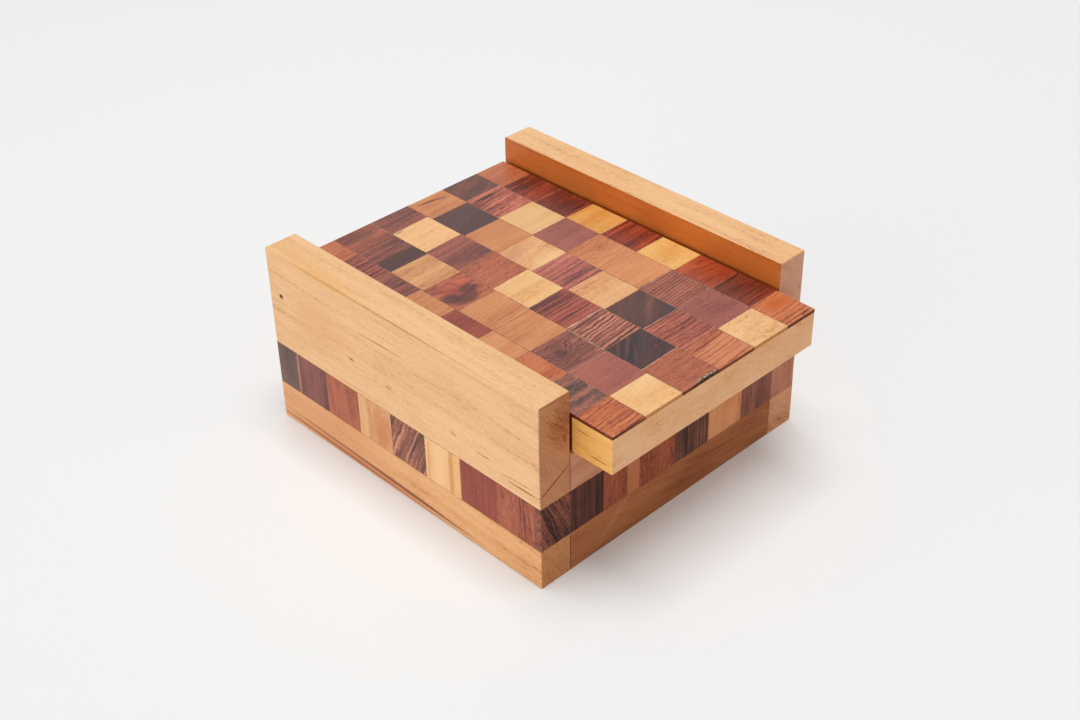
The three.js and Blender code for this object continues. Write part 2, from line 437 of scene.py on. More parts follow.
def add_stock(name, like=None, **values):
    """Adds a stock: a new one, or one like another but for some values."""
    STOCKS[name] = replace(STOCKS[like], **values) if like else Stock(**values)


# Pale woods
add_stock(
    "maple", slot="maple", shades=((246, 198, 140), (236, 178, 114), (190, 122, 66)),
    lines=2.2, line_depth=0.14, band_depth=0.25, pore_depth=0.1, grit=0.5, blotch=0.26,
    rim=(0.78, 0.56, 0.3), seam=DARK_SEAM,
)
add_stock("pale_maple", "maple", shades=((246, 199, 146), (237, 181, 123), (190, 126, 74)))
add_stock("speckled_maple", "pale_maple", pore_depth=0.25, grit=0.7)
add_stock(
    "yellow", "maple", shades=((243, 178, 96), (229, 148, 66), (186, 96, 38)), blotch=0.25,
)
add_stock("gold", "yellow", shades=((248, 198, 122), (234, 168, 92), (190, 110, 46)))
add_stock(
    "tan", slot="birch", shades=((236, 180, 126), (220, 154, 100), (168, 98, 58)),
    lines=1.0, line_depth=0.25, ripple=0.3, grit=0.6, blotch=0.16, seam=DARK_SEAM,
)
add_stock(
    "cherry", slot="cherry", shades=((226, 156, 102), (208, 130, 80), (142, 68, 36)),
    lines=1.0, line_depth=0.22, pore_depth=0.2, ripple=0.3, grit=0.25, blotch=0.14, seam=DARK_SEAM,
)
add_stock("lined_cherry", "cherry", rings=1.35, ring_depth=0.38, ring_sharp=4, line_depth=0.1)
add_stock(
    "curled_cherry", "cherry", shades=((218, 146, 98), (196, 118, 72), (136, 66, 36)),
    rings=1.9, ring_depth=0.3, ring_sharp=4, ripple=0.9, ripple_length=7, waver=3,
)

# Orange and red woods
add_stock(
    "orange", slot="padauk", shades=((214, 128, 78), (186, 94, 54), (96, 36, 20)),
    base=0.2, lines=0.8, line_depth=0.4, rings=1.7, ring_depth=0.6, ring_sharp=4, ripple=0.3,
    band_depth=0.25, pore_depth=0.55, grit=0.35,
)
add_stock(
    "plain_orange", "orange", shades=((208, 124, 80), (186, 94, 54), (96, 36, 20)), rings=0,
    line_depth=0.3,
)
add_stock(
    "tan_red", "orange", slot="birch", shades=((216, 136, 92), (190, 100, 64), (116, 50, 32)),
    bands=4, band_depth=0.6, rings=2.6, ring_depth=0.5, ring_sharp=3, ripple=0.4,
)
add_stock("half_orange", "orange", base=0.1)
add_stock(
    "mahogany", slot="mahogany", shades=((198, 113, 78), (175, 92, 62), (106, 44, 30)),
    base=0.4, lines=0.7, line_depth=0.3, band_depth=0.2, pore_depth=0.55, fibre_depth=0.3, grit=0.6,
    blotch=0.15, run=12,
)
add_stock("smooth_mahogany", "mahogany", pore_depth=0.25, grit=0.35, run=30)
add_stock("arched", "mahogany", rings=2.0, ring_depth=0.4, ring_sharp=2, pore_depth=0.4)
add_stock(
    "red", "mahogany", slot="padauk", shades=((196, 92, 50), (166, 66, 34), (96, 28, 16)),
    grit=0.2,
)
add_stock("wine_block", "smooth_mahogany", shades=((170, 80, 62), (151, 66, 50), (92, 34, 28)))
add_stock(
    "purple", slot="purpleheart", shades=((172, 100, 84), (152, 82, 70), (98, 46, 42)),
    base=0.4, lines=0.8, line_depth=0.12, band_depth=0.2, pore_depth=0.25, grit=0.5, blotch=0.25,
    seam=PALE_SEAM, roughness=0.3,
)

# Striped woods
add_stock(
    "rosewood", slot="rosewood", shades=((206, 118, 90), (156, 74, 58), (64, 30, 28)),
    base=0.38, lines=0.7, line_depth=0.4, bands=5, band_depth=0.3, rings=1.5, ring_depth=0.45,
    ring_sharp=3, ripple=0.25, grit=0.4, pore_depth=0.4, run=30, seam=PALE_SEAM,
)
add_stock(
    "fine_rosewood", "rosewood", shades=((198, 120, 92), (160, 87, 69), (80, 42, 36)),
    base=0.26, ring_depth=0.65, ring_sharp=1.6, ring_wander=0.12, ripple=0.2, waver=0.8,
    pith=FAR_PITH, band_depth=0.1, line_depth=0.12, blotch=0.05,
)
add_stock(
    "pink_rosewood", "rosewood", shades=((206, 122, 98), (172, 92, 76), (104, 52, 48)),
    ring_depth=0.25, band_depth=0.35,
)
add_stock("wine", "rosewood", shades=((196, 104, 80), (156, 70, 54), (72, 30, 28)), rings=1.7)
add_stock(
    "deep_red", "rosewood", shades=((176, 76, 42), (126, 46, 27), (52, 20, 15)), base=0.42,
    rings=1.6, ring_depth=0.35, ring_sharp=2, band_depth=0.4, ripple=0.3, pith=FAR_PITH,
)
add_stock(
    "brown", "rosewood", shades=((158, 88, 70), (120, 62, 51), (56, 32, 32)), band_depth=0.45,
    ring_depth=0.25, line_depth=0.4,
)
add_stock("red_brown", "brown", shades=((178, 98, 72), (150, 78, 57), (88, 46, 38)), base=0.45)
add_stock(
    "streaked", "brown", shades=((172, 104, 82), (116, 74, 63), (64, 50, 44)), base=0.5,
    bands=4, band_depth=0.6, ripple=0.8, ripple_length=6, rings=0, line_depth=0.45, grit=0.8,
)
add_stock(
    "swirled", "rosewood", shades=((190, 110, 88), (152, 85, 68), (84, 45, 41)), base=0.42,
    ripple=1.0, ripple_length=8, waver=2.5, rings=1.3, ring_depth=0.65, line_depth=0.45,
    band_depth=0.25,
)
add_stock(
    "zebra", "rosewood", shades=((228, 150, 120), (172, 98, 76), (84, 46, 38)), base=0.24,
    lines=0.9, line_depth=0.35, rings=1.5, ring_depth=0.9, ring_sharp=1.6, ripple=0.45,
    ripple_length=5, bands=7, band_depth=0.2,
)
add_stock(
    "band_striped", "rosewood", shades=((220, 148, 114), (156, 92, 68), (86, 52, 42)),
    base=0.64, bands=4.5, band_depth=0.45, rings=2.1, ring_depth=-0.45, ring_sharp=3,
    line_depth=0.5, ripple=0.6,
)

# Near-black woods
add_stock(
    "ebony", slot="ebony", shades=((140, 68, 46), (84, 45, 38), (42, 31, 37)),
    base=0.78, lines=1.1, line_depth=0.15, bands=7, band_depth=0.25, waver=2.5, blotch=0.25, grit=0.4,
    pore_depth=0.2, run=20, seam=PALE_SEAM,
)
add_stock(
    "soft_ebony", "ebony", shades=((140, 80, 62), (102, 61, 52), (68, 40, 39)), bands=9,
    band_depth=0.2, line_depth=0.1, grit=0.3,
)
add_stock(
    "brown_ebony", "ebony", shades=((156, 90, 68), (118, 66, 54), (84, 50, 44)), base=0.7,
    band_depth=0.45, line_depth=0.3,
)
add_stock("grey_ebony", "ebony", shades=((118, 70, 58), (96, 58, 52), (76, 47, 43)), grit=0.2)
add_stock("end_grey", "ebony", shades=((146, 110, 96), (114, 84, 76), (82, 62, 58)), base=0.5)

# The box's own pieces
add_stock(
    "board", "maple", shades=((244, 198, 147), (232, 178, 124), (168, 98, 48)), base=0.24,
    end=(0.73, 0.53, 0.47), rings=5.0, ring_depth=0.2, pith=(75, 62), dash_depth=0.2, lines=1.2,
    line_depth=0.16, pore_depth=0.24, seam=rgb(140, 84, 46), blotch=0.14, grit=0.45, band_depth=0.15,
    fibre_depth=0.3, run=45, end_depth=0.45,
)
add_stock(
    "strip", "board", shades=((239, 184, 127), (226, 161, 102), (140, 74, 34)), blotch=0.18,
    end=(0.77, 0.62, 0.52),
)
# Painted sheen: the right board's and right strip's front ends are painted paler and pinker, as the
# bright floor shows in them.
add_stock(
    "right_board", "board", shades=((244, 196, 142), (232, 176, 118), (168, 96, 46)),
    end=(0.94, 0.83, 1.12),
)
add_stock("right_strip", "strip", end=(0.87, 0.77, 0.86))
add_stock(
    "core", "board", shades=((248, 195, 112), (240, 170, 86), (170, 94, 40)),
    end=(1.1, 1.12, 2.05), end_depth=0.16, rings=0,
)
add_stock(
    "brown_strip", "cherry", shades=((196, 122, 70), (168, 94, 48), (108, 52, 24)), blotch=0.2,
    dash_depth=0.2,
)
add_stock(
    "top_strip", "cherry", shades=((222, 158, 120), (204, 136, 100), (128, 70, 44)),
    dash_depth=0.4, line_depth=0.3,
)
add_stock("front_orange", "cherry", shades=((240, 166, 108), (226, 138, 86), (160, 80, 44)))
# Painted sheen: the right front block is painted paler and pinker, as the bright floor shows in it.
add_stock("front_pink", "cherry", shades=((222, 158, 124), (198, 122, 92), (118, 60, 46)))
add_stock(
    "front_black", "ebony", shades=((178, 102, 78), (132, 76, 58), (52, 32, 30)), base=0.58,
    lines=0.7, line_depth=0.5, bands=3, band_depth=0.35, ripple=0.6, ripple_length=9, pore_depth=0.5,
    grit=0.5,
)
add_stock(
    "front_striped", "ebony", shades=((142, 80, 62), (104, 58, 46), (52, 31, 29)), base=0.6,
    lines=0.8, line_depth=0.45, bands=4, band_depth=0.3, waver=0.4, run=60,
)
add_stock(
    "front_olive", "front_striped", shades=((172, 112, 84), (120, 72, 56), (62, 38, 34)),
    base=0.48, lines=1.0, line_depth=0.3, bands=3, band_depth=0.3, rings=1.6, ring_depth=0.45,
    ring_sharp=1.6, ring_wander=0.15,
)
add_stock("front_red", "mahogany", shades=((190, 102, 64), (164, 82, 52), (98, 40, 26)))
add_stock(
    "dark_purple", "purple", shades=((156, 92, 80), (134, 76, 66), (88, 46, 44)),
    band_depth=0.4, bands=4, line_depth=0.3,
)
add_stock("front_purple", "dark_purple", shades=((178, 112, 90), (154, 92, 76), (98, 56, 50)))


# Shapes


def ease_ticks(radius, steps):
    """Places from a sharp edge inwards: radius * (1 - tan(angle)) for even angles from 45 to 0
    degrees. Once the edge is rounded they lie evenly round its arc."""
    return radius * (1 - np.tan(np.linspace(math.pi / 4, 0, steps + 1)))


def line_places(low, high, eased_low, eased_high, edge, spacing, more):
    """Where a box's grid lines lie along one axis: close together in the arcs at both ends, and
    about spacing apart between them."""
    joint, outside = ease_ticks(JOINT_EDGE, JOINT_STEPS), ease_ticks(edge, EDGE_STEPS)
    starts = np.concatenate([joint, outside]) if eased_low else joint
    ends = np.concatenate([joint, outside]) if eased_high else joint
    inner = np.linspace(low, high, max(2, round((high - low) / spacing) + 1))[1:-1]
    first, last = low + starts.max() + LINE_CLEARANCE, high - ends.max() - LINE_CLEARANCE
    inner = inner[(inner > first) & (inner < last)]
    if len(more):
        before, after = min(more) - LINE_CLEARANCE, max(more) + LINE_CLEARANCE
        inner = np.concatenate([inner[(inner < before) | (inner > after)], more])
    return np.unique(np.round(np.concatenate([low + starts, inner, high - ends]), 5))


def box_sides(lines):
    """The six sides of a box as grids of points over the places of its grid lines. Rows and columns
    run so that each side faces outwards."""
    sides = {}
    for axis in (X, Y, Z):
        u, v = (axis + 1) % 3, (axis + 2) % 3
        for at_high in (False, True):
            points = np.empty((len(lines[u]), len(lines[v]), 3))
            points[..., axis] = lines[axis][-1 if at_high else 0]
            points[..., u] = lines[u][:, None]
            points[..., v] = lines[v][None, :]
            sides[axis, at_high] = points if at_high else points[::-1]
    return sides


def length_of(vectors):
    """The length of each vector, kept above 0 so that it may divide."""
    return np.maximum(np.linalg.norm(vectors, axis=-1, keepdims=True), TINY)


def pulled_in(points, low, high, radius):
    """Rounds a box's edges: a point further than radius from the box's core, which is the box drawn
    in by radius on every side, moves straight towards its nearest point of the core until it is at
    that distance."""
    core = np.clip(points, low + radius, high - radius)
    off = points - core
    return np.where(length_of(off) > radius, core + off * radius / length_of(off), points)


def eased(points, low, high, outside, radius):
    """Rounds the edges between a box's outside faces, after the faint rounding of all its edges."""
    points = pulled_in(points, low, high, JOINT_EDGE)
    far = 4 * radius
    low, high = low.copy(), high.copy()
    for axis in (X, Y, Z):
        low[axis] -= 0 if outside[axis][0] else far
        high[axis] += 0 if outside[axis][1] else far
    return pulled_in(points, low, high, radius)


def swing_corner(points, low, high):
    """The middle of the lid's lower rear arc, where points lie from it, and which of them are in
    the square corner that it rounds."""
    middle = np.array([high[Y] - SWING_RADIUS, low[Z] + SWING_RADIUS])
    off = points[..., Y:] - middle
    return middle, off, (off[..., :1] > 0) & (off[..., 1:] < 0)


def swung(points, low, high):
    """Rounds the lid's lower rear edge: in the square that the arc touches, each square ring of
    points round the arc's middle becomes a circular one, but the inmost ones, where the holes
    are."""
    middle, off, corner = swing_corner(points, low, high)
    square = np.abs(off).max(-1, keepdims=True)
    share = np.clip((square / SWING_RADIUS - 0.5) / 0.3, 0, 1)
    ratio = 1 - share + share * square / length_of(off)
    points = points.copy()
    points[..., Y:] = middle + off * np.where(corner, ratio, 1.0)
    return points


def eased_core(points, low, high, outside, radius):
    """Rounds the edges of the lid's core. Along its lower rear arc, the core of the rounding is
    that arc drawn in by radius."""
    points = swung(points, low, high)
    middle, off, corner = swing_corner(points, low, high)
    core = np.empty_like(points)
    core[..., X] = np.clip(points[..., X], low[X] + radius, high[X] - radius)
    core[..., Y:] = middle + off * np.minimum(1.0, (SWING_RADIUS - radius) / length_of(off))
    out = points - core
    rounded = np.where(length_of(out) > radius, core + out * radius / length_of(out), points)
    return np.where(corner, rounded, eased(points, low, high, outside, radius))


def quads_of(points):
    """A grid of points as a list of corners, and the cells between them."""
    rows, columns = points.shape[:2]
    index = np.arange(rows * columns).reshape(rows, columns)
    cells = np.stack([index[:-1, :-1], index[1:, :-1], index[1:, 1:], index[:-1, 1:]], -1)
    return points.reshape(-1, 3), cells


def welded(patches):
    """Grids of points, each with a mask of the cells that it keeps or None, joined where they
    meet."""
    corners, cells, count = [], [], 0
    for points, kept in patches:
        flat, quads = quads_of(points)
        corners.append(flat)
        cells.append((quads if kept is None else quads[kept]).reshape(-1, 4) + count)
        count += len(flat)
    corners, cells = np.concatenate(corners), np.concatenate(cells)
    rounded = np.round(corners, 4)
    _, first, where = np.unique(rounded, axis=0, return_index=True, return_inverse=True)
    used, cells = np.unique(where.reshape(-1)[cells], return_inverse=True)
    return corners[first][used], cells.reshape(-1, 4)


def normals_of(corners, cells):
    """Each corner's direction: the sum of its cells' normals by their area, so flat sides stay flat
    right up to a rounded edge."""
    p = corners[cells]
    across = np.cross(p[:, 2] - p[:, 0], p[:, 3] - p[:, 1])
    normals = np.zeros_like(corners)
    for corner in range(4):
        np.add.at(normals, cells[:, corner], across)
    return normals / length_of(normals)


def mesh_of(name, corners, cells, normals=None):
    """A mesh in metres. A cell with two corners in one place becomes a triangle."""
    faces = [list(dict.fromkeys(cell)) for cell in cells.tolist()]
    mesh = bpy.data.meshes.new(name)
    mesh.from_pydata((corners / METRE).tolist(), [], [face for face in faces if len(face) > 2])
    mesh.shade_smooth()
    if normals is not None:
        mesh.normals_split_custom_set_from_vertices(normals.tolist())
    return mesh


def write(mesh, name, values):
    """Stores a number or a vector for each of the mesh's corners."""
    values = np.asarray(values, np.float32)
    kind, key = ("FLOAT_VECTOR", "vector") if values.ndim == 2 else ("FLOAT", "value")
    mesh.attributes.new(name, kind, "POINT").data.foreach_set(key, values.ravel())


HOLE_TURNS = np.linspace(-math.pi / 4, math.pi / 4, HOLE_SIDES // 4 + 1)
HOLE_LINES = np.round(HOLE_PATCH * np.tan(HOLE_TURNS), 5)


def hole(face, end, radius, closed):
    """A round hole along X at the hinge, from the face to its end. Rings lead from a square of the
    side's surface to the hole, over its eased rim and down its wall. A closed hole ends in a
    drill's cone."""
    depth, inwards = abs(end - face), np.sign(end - face)
    edge, flat = HOLE_LINES, np.full_like(HOLE_LINES, HOLE_LINES[-1])
    y = np.concatenate([edge[:-1], flat[:-1], -edge[:-1], -flat[:-1], edge[:1]])
    z = np.concatenate([-flat[:-1], edge[:-1], flat[:-1], -edge[:-1], -flat[:1]])
    square = np.stack([y, z], -1)
    circle = square / np.linalg.norm(square, axis=1, keepdims=True)
    share = np.linspace(0, 1, HOLE_RINGS)[:, None, None]
    flat_rings = square * (1 - share) + circle * (radius + HOLE_RIM) * share
    turn = np.linspace(0, math.pi / 2, HOLE_RINGS)[1:]
    radii = np.append(radius + HOLE_RIM * (1 - np.sin(turn)), radius)
    depths = np.append(HOLE_RIM * (1 - np.cos(turn)), depth)
    if closed:
        radii, depths = np.append(radii, 0.0), np.append(depths, depth + DRILL_POINT * radius)
    rings = np.concatenate([flat_rings, circle * radii[:, None, None]])
    points = np.empty((*rings.shape[:2], 3))
    points[..., Y:] = rings + np.round(HINGE[Y:], 5)
    points[..., X] = face + inwards * np.concatenate([np.zeros(HOLE_RINGS), depths])[:, None]
    return points if inwards > 0 else points[::-1]


def lathed(profile, turns):
    """A closed solid round the hinge's line: rings of turns points at each pair of a place along X
    and a radius."""
    angle = np.linspace(0, 2 * math.pi, turns + 1)
    along, radius = profile[:, 0, None], profile[:, 1, None]
    points = np.empty((len(profile), turns + 1, 3))
    points[..., X] = along
    points[..., Y] = HINGE[Y] + radius * np.cos(angle)
    points[..., Z] = HINGE[Z] + radius * np.sin(angle)
    return welded([(points, None)])


def slabs(lows, highs, slopes):
    """Many plain boxes as one mesh. The slope of each tilts it from the X axis towards Y."""
    corner = np.array([[(n >> i) & 1 for i in range(3)] for n in range(8)])
    points = np.where(corner[None], highs[:, None], lows[:, None])
    middles = (lows[:, None, X] + highs[:, None, X]) / 2
    points[..., Y] += slopes[:, None] * (points[..., X] - middles)
    faces = ((0, 2, 3, 1), (4, 5, 7, 6), (0, 1, 5, 4), (2, 6, 7, 3), (0, 4, 6, 2), (1, 3, 7, 5))
    cells = np.array(faces) + 8 * np.arange(len(lows))[:, None, None]
    return points.reshape(-1, 3), cells.reshape(-1, 4)


# Pieces

RECORD_SLOTS = {part["node"]: part["material_slot"] for part in frame["record"]["subparts"]}


def add_piece(name, mesh, material, body, nodes):
    piece = bpy.data.objects.new(name, mesh)
    bpy.context.collection.objects.link(piece)
    mesh.materials.append(material)
    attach(piece, body)
    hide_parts(*nodes)


@dataclass
class Cut:
    """How a piece is cut from its stock."""

    grain: tuple  # the axes that run along the grain, across it and through the piece
    slant: float = 0.0  # degrees by which the grain leans from the first axis to the second
    marks: tuple = ()
    tone: float = 1.0
    spacing: float = 9.0
    edge: float = EDGE
    gaps: dict = field(default_factory=dict)  # (axis, at high) to how far that side stands back
    bores: tuple = ()  # (at high, radius, depth) of holes at the hinge, or None where two meet
    easing: object = eased
    bend: object = None  # moves the finished corners
    more_lines: dict = field(default_factory=dict)  # axis to further grid lines
    seam: float = 0.85
    rim: tuple = ()  # axes whose outside faces are a tile's dark edges
    aged: tuple = ()  # (axis, at high) of faces painted with shade and the lid's reddish light


def set_back(low, high, outside, gaps):
    """A piece's box after its sides stand back: the outside ones by a random level, and the others
    by half a joint."""
    low, high = low.copy(), high.copy()
    for axis in (X, Y, Z):
        for at_high, side, sign in ((False, low, 1), (True, high, -1)):
            level = 0.0 if axis == Z and not at_high else random.uniform(0, LEVEL_SPREAD)
            joint = gaps.get((axis, at_high), JOINT_GAP / 2)
            side[axis] = round(side[axis] + sign * (level if outside[axis][at_high] else joint), 5)
    return low, high


def grid_lines(low, high, outside, cut):
    """The places of a piece's grid lines along each axis. Its holes bring lines of their own, and
    so does the arc of the lid's core."""
    more = dict(cut.more_lines)
    if cut.bores:
        more[Y], more[Z] = (np.round(HINGE[axis], 5) + HOLE_LINES for axis in (Y, Z))
    if cut.easing is eased_core:
        arc = ease_ticks(SWING_RADIUS, SWING_STEPS)[1:]
        behind, below = high[Y] - arc, low[Z] + arc
        behind = behind[behind > more[Y].max() + LINE_CLEARANCE]
        below = below[below < more[Z].min() - LINE_CLEARANCE]
        more[Y] = np.append(more[Y], np.round(behind, 5))
        more[Z] = np.append(np.round(below, 5), more[Z])
    return [
        line_places(low[i], high[i], *outside[i], cut.edge, cut.spacing, more.get(i, ()))
        for i in (X, Y, Z)
    ]


def shell_of(low, high, lines, bores):
    """A piece's six sides and its holes, with square edges, as one closed shell."""
    patches = []
    for (axis, at_high), points in box_sides(lines).items():
        kept = None
        if axis == X and at_high in [bore[0] for bore in bores]:
            middles = (points[:-1, :-1] + points[1:, 1:]) / 2
            kept = (np.abs(middles[..., Y:] - HINGE[Y:]) > HOLE_PATCH).any(-1)
        patches.append((points, kept))
    for at_high, radius, depth in bores:
        face, inwards = (high[X], -1) if at_high else (low[X], 1)
        end = face + inwards * depth if depth else round((low[X] + high[X]) / 2, 4)
        patches.append((hole(face, end, radius, bool(depth)), None))
    return welded(patches)


materials = {}


def wooden_piece(name, body, nodes, slot, stock_name, low, high, body_box, cut):
    """Cuts a piece from its stock, and writes on its corners where they lie in the piece and in the
    plank, how far they face along the grain, and the piece's own tone."""
    outside = [
        (abs(low[i] - body_box[0][i]) < FLUSH, abs(high[i] - body_box[1][i]) < FLUSH)
        for i in (X, Y, Z)
    ]
    low, high = set_back(low, high, outside, cut.gaps)
    square_corners, cells = shell_of(low, high, grid_lines(low, high, outside, cut), cut.bores)
    corners = cut.easing(square_corners, low, high, outside, cut.edge)
    facing = normals_of(corners, cells)

    middle, half, order = (low + high) / 2, (high - low) / 2, list(cut.grain)
    place = (square_corners - middle)[:, order]
    lean = math.radians(cut.slant)
    cos, sin = math.cos(lean), math.sin(lean)
    turn = np.array([(cos, sin, 0), (-sin, cos, 0), (0, 0, 1)])
    none = np.zeros(len(corners))
    rim = sum((facing[:, axis] ** 2 for axis in cut.rim), none)
    signed = (facing[:, axis] * (1 if at_high else -1) for axis, at_high in cut.aged)
    values = {
        "place": place,
        "grain": place @ turn.T + random.uniform(0, 300, 3),
        "half": np.tile(half[order], (len(corners), 1)),
        "end": (facing[:, order] @ turn.T)[:, 0] ** 2,
        "tone": none + cut.tone,
        "seam": none + cut.seam,
        "rim": np.clip(rim, 0, 1),
        "aged": sum((np.maximum(0, part) ** 2 for part in signed), none),
    }
    if cut.bend is not None:
        corners = cut.bend(corners, low, high)
    mesh = mesh_of(name, corners, cells, normals_of(corners, cells))
    for each, value in values.items():
        write(mesh, each, value)

    material_name = f"{name}_paint" if cut.marks else stock_name
    if material_name not in materials:
        stock = STOCKS[stock_name]
        materials[material_name] = wood(material_name, stock, cut.marks, middle, order)
    add_piece(name, mesh, materials[material_name], body, nodes)


# Box: strips, blocks and boards

SIDE_LONG, SIDE_UPRIGHT = (Y, Z, X), (Z, Y, X)
WALL_LONG, WALL_UPRIGHT = (X, Z, Y), (Z, X, Y)
FLAT_ACROSS, FLAT_ALONG = (X, Y, Z), (Y, X, Z)
LEFT, FRONT = BOX_LOW[X], BOX_LOW[Y]

BOX_STOCKS = {
    "left_base_strip": "strip", "left_upper_board": "board",
    "right_base_strip": "right_strip", "right_upper_board": "right_board",
    "front_base_strip": "brown_strip", "front_top_strip": "top_strip",
    "rear_base_strip": "brown_strip", "rear_top_strip": "top_strip",
    "bottom_panel": "tan",
}
ROW_STOCKS = {
    "left": (
        "front_black arched wine_block maple band_striped tan smooth_mahogany dark_purple end_grey"
    ),
    "right": "front_pink maple purple cherry rosewood tan mahogany ebony cherry",
    "front": "front_striped front_red front_red front_olive front_orange front_purple",
    "rear": "cherry rosewood maple mahogany ebony tan",
}
for row, names in ROW_STOCKS.items():
    for number, stock_name in enumerate(names.split(), 1):
        BOX_STOCKS[f"{row}_block_{number}"] = stock_name

# Painted sheen: right_base_strip is painted lighter, as the bright floor shows in its front end.
TONES = {
    "left_block_2": 0.93, "left_block_6": 0.97, "left_block_8": 0.92, "right_base_strip": 1.08,
}
SLANTS = {
    "left_block_1": -25, "left_block_2": 6, "left_block_5": -26, "front_top_strip": 12,
    "front_base_strip": -8,
}

DARK_GAP = (84, 42, 26)
BOX_MARKS = {
    "left_upper_board": (
        Mark((LEFT, 42, 82.5), (26, 0.8, 2), 0.85, colour=(204, 128, 56), rough=0.3),
        Mark((LEFT, 38, 82.4), (11, 0.5, 2), 1.0, rough=0.5),
        Mark((LEFT, 0, 82.5), (76, 0.7, 1.5), 0.9, colour=(194, 130, 68), soft=1, rough=0.25),
        Mark((LEFT, 9, 68.6), (17, 0.4, 5), 0.9, tilt=-0.6),
        Mark((LEFT, 27, 53), (3.4, 0.9, 3), 0.75, tilt=8, soft=1),
        Mark((LEFT, 5, 50.6), (3.2, 0.8, 3), 0.75, soft=1),
        Mark((LEFT, -32, 48), (3.4, 0.9, 3), 0.75, tilt=14, soft=1),
        Mark((LEFT, -48, 46.6), (5.5, 0.4, 3), 0.8),
        Mark((LEFT, -69, 42.4), (10, 0.4, 6), 1.6, tilt=-2, rough=0.2),
        Mark((LEFT, -66, 44.4), (12, 0.35, 6), 0.8, tilt=-2.5),
        Mark((LEFT + 7.2, FRONT, 46.8), (2.5, 0.45, 10.5), 2.0, turn=-28, soft=0.5, rough=0.1),
        # Painted shade: the board's front end is painted darker towards its upper inner corner, beside
        # the lid and far from the floor's light.
        Mark((LEFT + 12, FRONT, 72), (6.5, 16, 11), 0.5, soft=1, rough=0.0),
        Mark((LEFT + 12.6, FRONT, 63.5), (1.4, 4, 2), 0.4, soft=1, rough=0.3),
        Mark((LEFT + 7.5, FRONT, 82.4), (0.8, 0.7, 14), 0.6, colour=(176, 104, 58), soft=0.9),
        Mark((LEFT, FRONT, 62), (0.7, 30, 0.6), 0.5, colour=(190, 122, 70), soft=0.9),
        Mark((LEFT + 6, 68, 83), (22, 12, 9), 0.5, colour=(236, 178, 118), soft=1),
        Mark((LEFT + 1, 44, 83), (36, 6, 8), 0.5, colour=(236, 178, 100), soft=1),
        Mark((LEFT, 45, 60), (30, 14, 3), 0.5, colour=(230, 164, 112), soft=1),
    ),
    "left_base_strip": (
        Mark((LEFT, 24, 1.8), (62, 2.8, 6), 0.8, tilt=1.4, colour=(206, 124, 66), soft=0.7),
        Mark((LEFT, 20, 4.1), (70, 1.1, 6), 1.0, tilt=1.4, colour=(132, 70, 34), soft=0.6, rough=0.25),
        Mark((LEFT, 42, 1.9), (54, 0.9, 6), 0.95, tilt=1.0, colour=(140, 76, 38), rough=0.25),
        Mark((LEFT, -8, 3.0), (44, 0.7, 6), 0.95, tilt=1.6, colour=(140, 74, 36), rough=0.25),
        Mark((LEFT, 44, 10), (56, 16, 4), 0.55, colour=(214, 138, 90), soft=1, rough=0.2),
    ),
    "front_base_strip": (
        Mark((-36, FRONT, 10), (24, 3.2, 6), 0.65, tilt=40, colour=(206, 138, 88), soft=1, rough=0.3),
        Mark((-46, FRONT, 9), (20, 9, 6), 0.5, tilt=40, colour=(192, 120, 70), soft=1, rough=0.5),
        Mark((-58.3, FRONT, 9), (0.45, 14, 6), 0.45, colour=DARK_GAP, soft=0.6, rough=0.2),
        # Painted shade: the strip is painted darker in its middle, where the box's contact shadow
        # lies.
        Mark((12, FRONT, 8), (30, 10, 6), 0.3, soft=1),
    ),
    "front_top_strip": (
        Mark((-58.3, FRONT, 46), (0.45, 14, 6), 0.45, colour=DARK_GAP, soft=0.6, rough=0.2),
    ),
    "front_block_2": (
        Mark((-24.2, FRONT, 28), (30, 4.0, 4), 0.5, colour=(222, 142, 92), soft=0.3, rough=0.1),
        Mark((-24.2, FRONT, 28), (30, 4.0, 4), -0.35, soft=0.3, rough=0.1),
    ),
    "front_block_5": (
        Mark((34, FRONT, 24), (9, 6, 6), 0.6, colour=(248, 172, 120), soft=1),
        Mark((27, FRONT, 35), (6, 6, 6), 0.4, colour=(214, 128, 72), soft=1),
    ),
    "left_block_4": (
        Mark((LEFT, -16.8, 28), (18, 1.1, 5), 0.6, colour=(220, 152, 92)),
        Mark((LEFT, -29.5, 28), (22, 2.0, 5), 0.85, colour=(216, 146, 86), rough=0.15),
        Mark((LEFT, -23, 28), (22, 4, 5), -0.35, soft=0.8),
    ),
    "left_block_6": (
        Mark((LEFT, 21.5, 28), (18, 3, 5), 0.6, colour=(236, 182, 126), soft=0.8),
        Mark((LEFT, 11, 26), (14, 8, 5), 0.8, colour=(208, 126, 80), soft=0.9),
    ),
    "left_block_8": (Mark((LEFT, 64, 28), (18, 0.9, 5), 0.8, colour=(190, 132, 116), soft=0.5),),
    "left_block_2": (Mark((LEFT, -61, 16), (24, 7, 8), -0.2, bend=6, soft=1),),
}


def hollowed(corners, low, high):
    """Draws the right side's outer face in by a shallow arc up its row of blocks."""
    share = np.clip((corners[:, X] - low[X]) / (high[X] - low[X]), 0, 1)
    up = np.clip((corners[:, Z] - low[Z]) / (high[Z] - low[Z]), 0, 1)
    corners = corners.copy()
    corners[:, X] -= HOLLOW * 4 * up * (1 - up) * share
    return corners


def grain_of(node):
    if node == "bottom_panel":
        return FLAT_ACROSS
    side = node.startswith(("left", "right"))
    if "block" in node:
        return SIDE_UPRIGHT if side and not node.endswith("block_1") else WALL_UPRIGHT
    return SIDE_LONG if side else WALL_LONG


